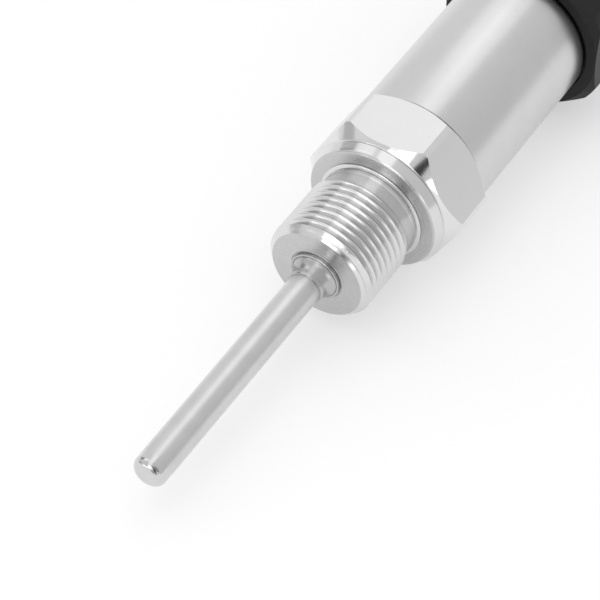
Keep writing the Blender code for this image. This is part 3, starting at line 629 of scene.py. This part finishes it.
# %% The turned steel, with painted shade in the thread roots
# Painted shade: grey is laid over the base colour in the thread roots, between the front face and the relief,
# where the grooves lie in shadow. It fades out between the two radii below.
ROOT, ABOVE_ROOT = 9.15, 9.6           # radii between which the residue fades
THREAD_FRONT, THREAD_REAR = 51.4, 64.0
turned_steel, tree, shader, group = steel("turned stainless steel", (0.5, 0.57), (0.22, 0.32),
                                          streak=0.92, feed=0.3, depth=0.9, grain=0.2)
span = {"Value": group.outputs["Radius"], "From Min": ROOT, "From Max": ABOVE_ROOT, "To Min": 0.8, "To Max": 0.0}
root = node(tree, "ShaderNodeMapRange", span).outputs[0]
behind_face = calculate(tree, "GREATER_THAN", group.outputs["Station"], THREAD_FRONT)
before_relief = calculate(tree, "LESS_THAN", group.outputs["Station"], THREAD_REAR)
painted_root_shade = calculate(tree, "MULTIPLY", calculate(tree, "MULTIPLY", root, behind_face), before_relief)
# Lay the painted root shade over the base colour.
paint_over(tree, shader, painted_root_shade, (0.4, 0.4, 0.4))

# %% The other steels of the fitting and the housing
honed_steel = steel("honed stainless steel", (0.62, 0.7), (0.14, 0.26),
                    streak=0.8, feed=0.3, depth=1.2, grain=0.1)[0]
bright_steel = steel("bright turned steel", (0.66, 0.74), (0.05, 0.14),
                     streak=0.5, feed=0.35, depth=1.6, grain=0.1)[0]
drawn_steel = steel("drawn stainless steel", (0.595, 0.605), (0.24, 0.28),
                    streak=0.0, feed=5.0, depth=0.0, grain=0.15, stretch=12.0)[0]
weld_steel = steel("welded stainless steel", (0.34, 0.56), (0.12, 0.26),
                   streak=0.0, feed=0.7, depth=1.2, grain=3.0)[0]
satin_steel = steel("satin stainless steel", (0.58, 0.62), (0.26, 0.32),
                    streak=0.3, feed=0.12, depth=0.1, grain=0.5, stretch=4.0)[0]

# %% The rolled steel of the probe, smoother at the ground tip
GROUND, ROLLED_FROM = 0.8, 3.5  # stations between which the ground end turns into the rolled shank
rolled_steel, tree, shader, group = steel("rolled stainless steel", (0.53, 0.64), (0.24, 0.33),
                                          streak=0.0, feed=0.3, depth=0.1, grain=0.9, stretch=8.0)
span = {"Value": group.outputs["Station"], "From Min": GROUND, "From Max": ROLLED_FROM,
        "To Min": 0.08, "To Max": 0.3}
tip_shine = node(tree, "ShaderNodeMapRange", span, interpolation_type="SMOOTHSTEP")
tree.links.new(tip_shine.outputs[0], shader.inputs["Roughness"])


# %% Dress the steel pieces
def dress(piece, *materials):
    """Give a piece its materials, in the order of its slots."""
    for material in materials:
        piece.data.materials.append(material)
    print(piece.name, "wears", ", ".join(material.name for material in materials))


dress(fitting, turned_steel, drawn_steel, weld_steel, bright_steel, honed_steel)
dress(probe, rolled_steel)
dress(housing, satin_steel)

# %% [markdown]
# ## Moulded surfaces
# Plastic, rubber, ceramic and cast resin copy the skin of their mould: a fine grain in the height,
# and a slow cloud in the colour and the gloss where the material flowed. One group gives both, and
# each material sets its own grain size.

# %% The group for moulded surfaces
CLOUDS = 190.0  # in a metre
mould, given, wanted = new_group(
    "moulded surface",
    [("Size", "NodeSocketFloat", 0.2), ("Depth", "NodeSocketFloat", 0.3)],
    [("Normal", "NodeSocketVector"), ("Cloud", "NodeSocketFloat"), ("Grain", "NodeSocketFloat")])
point = node(mould, "ShaderNodeTexCoord").outputs["Object"]
fineness = calculate(mould, "DIVIDE", 1 / MM, given["Size"])
grain = node(mould, "ShaderNodeTexNoise", {"Vector": point, "Scale": fineness, "Detail": 3.0}).outputs["Fac"]
cloud = node(mould, "ShaderNodeTexNoise", {"Vector": point, "Scale": CLOUDS, "Detail": 4.0}).outputs["Fac"]
height = calculate(mould, "MULTIPLY", grain, given["Depth"])
bump = node(mould, "ShaderNodeBump", {"Height": height, "Strength": 1.0, "Distance": 0.03 * MM})
put_out(mould, wanted, {"Normal": bump.outputs[0], "Cloud": cloud, "Grain": grain})


# %% A moulded material
def moulded(name, dark, light, rough, size, depth, metallic=0.0):
    """A moulded material. Rough is a pair, size is its grain in millimetres and depth how much it shows."""
    material, tree, shader = principled(name, light, rough[1], metallic)
    group = node(tree, "ShaderNodeGroup", {"Size": size, "Depth": depth}, node_tree=mould)
    vary(tree, shader, group, "Cloud", (dark, light), "Grain", rough)
    return material, tree, shader


# %% Plastics and rubbers outside
black, tree, shader = moulded("black moulded plastic", (0.007, 0.007, 0.008), (0.013, 0.013, 0.014),
                              (0.34, 0.5), 0.25, 0.5)
shader.inputs["Specular IOR Level"].default_value = 0.22
black_rubber = moulded("black rubber", (0.012, 0.012, 0.012), (0.022, 0.022, 0.021), (0.6, 0.8), 0.15, 0.7)[0]
grey_rubber = moulded("grey rubber", (0.09, 0.09, 0.09), (0.13, 0.13, 0.128), (0.55, 0.75), 0.15, 0.7)[0]
white_plastic = moulded("white plastic", (0.72, 0.72, 0.69), (0.82, 0.82, 0.79), (0.35, 0.5), 0.3, 0.3)[0]
for piece in (cap, body, nut):
    dress(piece, black)
dress(gasket, black_rubber)
dress(seal, grey_rubber)
dress(washer, white_plastic)

# %% [markdown]
# ## The parts inside
# The board, the sensing element and their wires keep the CAD model's own shapes. Each gets the
# finish of the real thing: fired ceramic, cast resin, bare and tinned metal, wire insulation and
# the green mask on the board, under which the copper areas show as slightly lighter rectangles.

# %% Finishes of the parts inside
def redress(material, *names):
    """Give a finish to the CAD model's own pieces."""
    for name in names:
        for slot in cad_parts[name].material_slots:
            slot.material = material
    print(material.name, "on", ", ".join(names))


# %% Ceramic, resin and insulation
redress(white_plastic, "board_holder", "sensor_header")
redress(black_rubber, "fitting_o_ring", "cap_o_ring")
redress(moulded("white ceramic", (0.8, 0.78, 0.72), (0.87, 0.85, 0.8), (0.42, 0.6), 0.1, 0.4)[0],
        "pt100_element", "element_insulator")
redress(moulded("amber resin", (0.28, 0.14, 0.035), (0.42, 0.24, 0.08), (0.12, 0.3), 1.5, 0.3)[0],
        "sheath_seal")
redress(moulded("red insulation", (0.42, 0.02, 0.015), (0.56, 0.035, 0.025), (0.3, 0.5), 0.2, 0.2)[0],
        "sensor_wire_1")
redress(moulded("white insulation", (0.74, 0.74, 0.71), (0.84, 0.84, 0.82), (0.3, 0.5), 0.2, 0.2)[0],
        "sensor_wire_2", "sensor_wire_3")

# %% The pieces on the board
redress(moulded("green plastic", (0.04, 0.26, 0.1), (0.06, 0.33, 0.135), (0.35, 0.5), 0.25, 0.4)[0],
        "terminal_block")
redress(moulded("black component", (0.014, 0.014, 0.014), (0.028, 0.028, 0.028), (0.45, 0.65), 0.12, 0.8)[0],
        "signal_chip", "loop_chip", "surge_diode", "resistor_1", "resistor_2", "resistor_3", "resistor_4")
redress(moulded("tan component", (0.48, 0.32, 0.11), (0.6, 0.42, 0.17), (0.4, 0.6), 0.12, 0.6)[0],
        "tantalum_capacitor_1", "tantalum_capacitor_2")
redress(moulded("aluminium can", (0.72, 0.72, 0.74), (0.82, 0.82, 0.84), (0.2, 0.4), 0.3, 0.3,
                metallic=1.0)[0], "filter_capacitor")
redress(moulded("tinned steel", (0.58, 0.58, 0.56), (0.7, 0.7, 0.68), (0.18, 0.38), 0.4, 0.4,
                metallic=1.0)[0], "terminal_clamp_1", "terminal_clamp_2", "terminal_screw_1", "terminal_screw_2")

# %% The green mask of the board
AREAS = 350.0  # the scale of the copper areas
mask, tree, shader = moulded("board laminate", (0.015, 0.13, 0.055), (0.025, 0.17, 0.075),
                             (0.25, 0.45), 0.6, 0.3)
point = node(tree, "ShaderNodeTexCoord").outputs["Object"]
bare, copper = (0, 0, 0, 1), (1, 1, 1, 1)
areas = node(tree, "ShaderNodeTexBrick", {"Vector": point, "Scale": AREAS, "Mortar Size": 0.04,
                                          "Color1": bare, "Color2": copper, "Mortar": bare})
paint_over(tree, shader, areas.outputs["Color"], (0.05, 0.24, 0.09))
redress(mask, "circuit_board")

# %% [markdown]
# ## The floor and the tent
# The object lies on a plain white table in a bright tent. The table glows a little to the camera
# and in reflections, through Light Path in its material, so it comes out nearly white and still
# takes the object's shadow. The tent is the world, lighter on one side, so that a round bar isn't
# lit evenly.

# %% The floor
CAMERA_SHARE, MIRROR_SHARE = 0.45, 0.27  # how much of the floor glows, to the camera and in reflections
CAMERA_GLOW, MIRROR_GLOW = 1.08, 1.5     # and how strongly
bpy.ops.object.select_all(action="DESELECT")
bpy.ops.mesh.primitive_plane_add(size=8, location=(0, 0, 0))
floor = bpy.context.object
floor.name = "floor"
white, tree, shader = principled("white table", (0.93, 0.93, 0.93), 0.9)
dress(floor, white)
paths = node(tree, "ShaderNodeLightPath").outputs
shine = node(tree, "ShaderNodeMapRange", {"Value": paths["Is Glossy Ray"], "To Min": CAMERA_GLOW,
                                          "To Max": MIRROR_GLOW})
glow = node(tree, "ShaderNodeEmission", {"Color": (1, 1, 1, 1), "Strength": shine.outputs[0]})
seen = calculate(tree, "MULTIPLY", paths["Is Camera Ray"], CAMERA_SHARE)
share = calculate(tree, "MULTIPLY_ADD", paths["Is Glossy Ray"], MIRROR_SHARE, seen)
lifted = node(tree, "ShaderNodeMixShader", {"Fac": share})
tree.links.new(shader.outputs[0], lifted.inputs[1])
tree.links.new(glow.outputs[0], lifted.inputs[2])
tree.links.new(lifted.outputs[0], tree.nodes["Material Output"].inputs["Surface"])

# %% The tent
LIGHT_SIDE = (0.48, 0.82, 0.3)
world = bpy.context.scene.world or bpy.data.worlds.new("tent")
bpy.context.scene.world = world
world.use_nodes = True
tree = world.node_tree
tree.nodes.clear()
paths = node(tree, "ShaderNodeLightPath").outputs
aim = node(tree, "ShaderNodeTexCoord").outputs["Generated"]
side = node(tree, "ShaderNodeVectorMath", {0: aim, 1: LIGHT_SIDE}, operation="DOT_PRODUCT").outputs["Value"]
wall = node(tree, "ShaderNodeMapRange", {"Value": side, "From Min": -0.4, "From Max": 0.9,
                                         "To Min": 0.75, "To Max": 0.98})
strength = calculate(tree, "MAXIMUM", wall.outputs[0], paths["Is Camera Ray"])
background = node(tree, "ShaderNodeBackground", {"Color": (1, 1, 1, 1), "Strength": strength})
node(tree, "ShaderNodeOutputWorld", {"Surface": background.outputs[0]})
print("the tent is lightest towards", LIGHT_SIDE)

# %% [markdown]
# ## Soft boxes and cards
# Polished steel shows what stands round it, so the streaks on the object are pictures of lamps and
# cards. Six soft boxes give the white ones, and each was placed where a face sends the camera's
# line of sight. The dark streaks are cards that only reflections see, because a real stand there
# would shade the table too.

# %% Soft boxes
def direction(azimuth, elevation):
    """A unit vector, with azimuth from +X towards +Y."""
    flat = math.cos(math.radians(elevation))
    return Vector((flat * math.cos(math.radians(azimuth)), flat * math.sin(math.radians(azimuth)),
                   math.sin(math.radians(elevation))))


def soft_box(name, place, width, length, radiance, target=(0, 0, 0)):
    """A rectangular lamp that faces a target and is equally bright all over."""
    light = bpy.data.lights.new(name, "AREA")
    light.shape = "RECTANGLE"
    light.size = width
    light.size_y = length
    light.energy = radiance * math.pi * width * length
    lamp = bpy.data.objects.new(name, light)
    bpy.context.scene.collection.objects.link(lamp)
    lamp.location = place
    lamp.rotation_euler = (Vector(target) - Vector(place)).to_track_quat("-Z", "Y").to_euler()
    print(name, "is", width, "x", length, "m and shines with", radiance)


soft_box("long_overhead_box", (-0.3, 0.04, 0.6), 1.9, 0.26, 0.45, target=(-0.3, 0.04, 0))
soft_box("high_box", (0.47, 0.26, 0.6), 0.28, 0.34, 0.45)
soft_box("front_box", 1.0 * direction(181, 21), 0.44, 0.52, 1.8)
soft_box("knee_box", 0.9 * direction(157, 7), 0.32, 0.14, 1.6)
soft_box("low_box", 0.8 * direction(-134, 6), 0.32, 0.18, 1.1)
soft_box("left_box", 0.9 * direction(100, 55), 0.4, 0.4, 0.4)


# %% Cards
def card(name, azimuth, elevation, distance, width, height, colour):
    """A flat card that only reflections see."""
    bpy.ops.object.select_all(action="DESELECT")
    bpy.ops.mesh.primitive_plane_add(size=1, location=distance * direction(azimuth, elevation))
    piece = bpy.context.object
    piece.name = name
    piece.rotation_euler = (math.pi / 2, 0, math.radians(azimuth + 90))
    piece.scale = (width, height, 1)
    dress(piece, principled(name, colour, 0.8)[0])
    piece.visible_camera = False
    piece.visible_diffuse = False
    piece.visible_shadow = False
    print(name, "is", width, "x", height, "m")


card("dark_stand", -154.0, 14, 0.6, 0.1, 0.28, (0.005, 0.005, 0.005))
card("grey_wall", 124, 9, 0.8, 0.26, 0.22, (0.6, 0.6, 0.6))
card("grey_panel", 92, 28, 0.8, 0.4, 0.36, (0.45, 0.45, 0.45))

# %% [markdown]
# ## The camera
# The camera was fitted to the outline of the object, so its place and its two picture axes are
# measured numbers and not round ones. It is a long lens from about half a metre away, which shows
# the far end only a little smaller than the tip.

# %% Camera
LENS, SENSOR = 156, 36
right = Vector((0.53744, -0.84285, 0.02750))
down = Vector((-0.59088, -0.39964, -0.70082))
ahead = right.cross(down)
place = Vector((-0.292143, -0.155868, 0.318442))
view = bpy.data.cameras.new("camera")
view.lens = LENS
view.sensor_width = SENSOR
camera = bpy.data.objects.new("camera", view)
bpy.context.scene.collection.objects.link(camera)
camera.matrix_world = Matrix((
    (right.x, -down.x, -ahead.x, place.x),
    (right.y, -down.y, -ahead.y, place.y),
    (right.z, -down.z, -ahead.z, place.z),
    (0, 0, 0, 1)))
bpy.context.scene.camera = camera
bpy.context.scene.view_settings.view_transform = "Standard"
print("camera at", [round(value, 4) for value in place])
